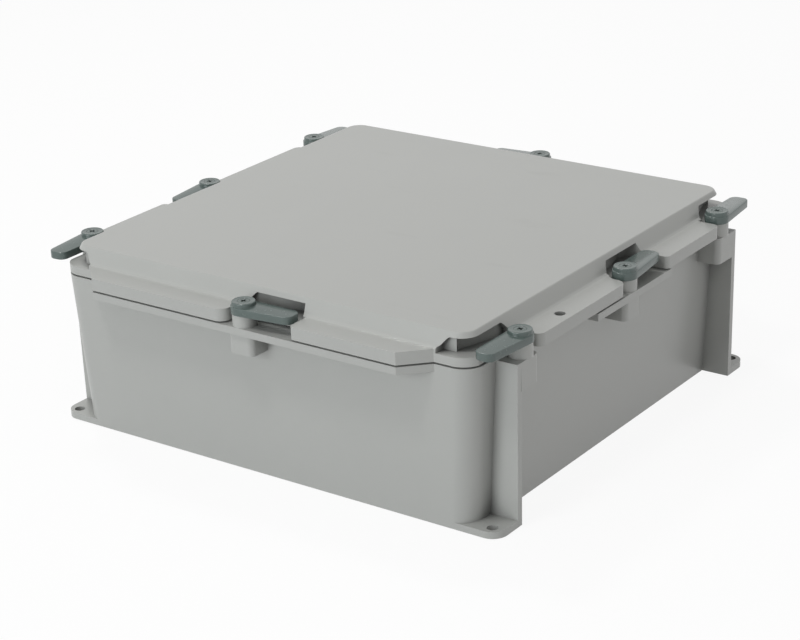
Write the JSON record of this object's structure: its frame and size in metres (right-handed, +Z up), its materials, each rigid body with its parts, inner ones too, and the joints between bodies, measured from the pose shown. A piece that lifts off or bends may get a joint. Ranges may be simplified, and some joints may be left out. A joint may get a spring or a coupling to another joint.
{
  "type": "plastic junction box",
  "caption": "Square moulded plastic junction box with mounting feet, a sealed lift-off lid and turning levers round the edge that hold the lid shut.",
  "frame": {"origin": "middle of the box's underside, on the surface it is fastened to", "axes": "+Z up out of the lid, -Y towards the front, which is the left-hand wall in the picture, +X towards the right-hand wall"},
  "size_m": [0.3494, 0.3494, 0.1245],
  "materials": {
    "grey_plastic": "light grey, fine satin moulding",
    "lever_plastic": "dark grey, semi-gloss",
    "seal_rubber": "matt black",
    "screw_metal": "grey coated"
  },
  "bodies": {
    "box": {"box_base": "grey_plastic", "front_screw": "screw_metal", "right_screw": "screw_metal", "back_screw": "screw_metal", "left_screw": "screw_metal", "front_left_screw": "screw_metal", "front_right_screw": "screw_metal", "back_right_screw": "screw_metal", "back_left_screw": "screw_metal"},
    "lid": {"lid": "grey_plastic", "lid_seal": "seal_rubber"},
    "front_lever": {"front_lever": "lever_plastic"},
    "right_lever": {"right_lever": "lever_plastic"},
    "back_lever": {"back_lever": "lever_plastic"},
    "left_lever": {"left_lever": "lever_plastic"},
    "front_left_lever": {"front_left_lever": "lever_plastic"},
    "front_right_lever": {"front_right_lever": "lever_plastic"},
    "back_right_lever": {"back_right_lever": "lever_plastic"},
    "back_left_lever": {"back_left_lever": "lever_plastic"}
  },
  "joints": [
    {"name": "lid_lift", "type": "slide", "parent": "box", "child": "lid", "axis": [0, 0, 1], "range_m": [0, 0.06]},
    {"name": "front_turn", "type": "hinge", "parent": "box", "child": "front_lever", "pos_m": [0, -0.1665, 0.1155], "axis": [0, 0, 1], "range_deg": [-93, 23]},
    {"name": "right_turn", "type": "hinge", "parent": "box", "child": "right_lever", "pos_m": [0.1665, 0, 0.1155], "axis": [0, 0, 1], "range_deg": [-93, 23]},
    {"name": "back_turn", "type": "hinge", "parent": "box", "child": "back_lever", "pos_m": [0, 0.1665, 0.1155], "axis": [0, 0, 1], "range_deg": [-93, 23]},
    {"name": "left_turn", "type": "hinge", "parent": "box", "child": "left_lever", "pos_m": [-0.1665, 0, 0.1155], "axis": [0, 0, 1], "range_deg": [-93, 23]},
    {"name": "front_left_turn", "type": "hinge", "parent": "box", "child": "front_left_lever", "pos_m": [-0.1665, -0.1195, 0.1155], "axis": [0, 0, 1], "range_deg": [-93, 28]},
    {"name": "front_right_turn", "type": "hinge", "parent": "box", "child": "front_right_lever", "pos_m": [0.1665, -0.1195, 0.1155], "axis": [0, 0, 1], "range_deg": [-28, 93]},
    {"name": "back_right_turn", "type": "hinge", "parent": "box", "child": "back_right_lever", "pos_m": [0.1665, 0.1195, 0.1155], "axis": [0, 0, 1], "range_deg": [-93, 28]},
    {"name": "back_left_turn", "type": "hinge", "parent": "box", "child": "back_left_lever", "pos_m": [-0.1665, 0.1195, 0.1155], "axis": [0, 0, 1], "range_deg": [-28, 93]}
  ]
}
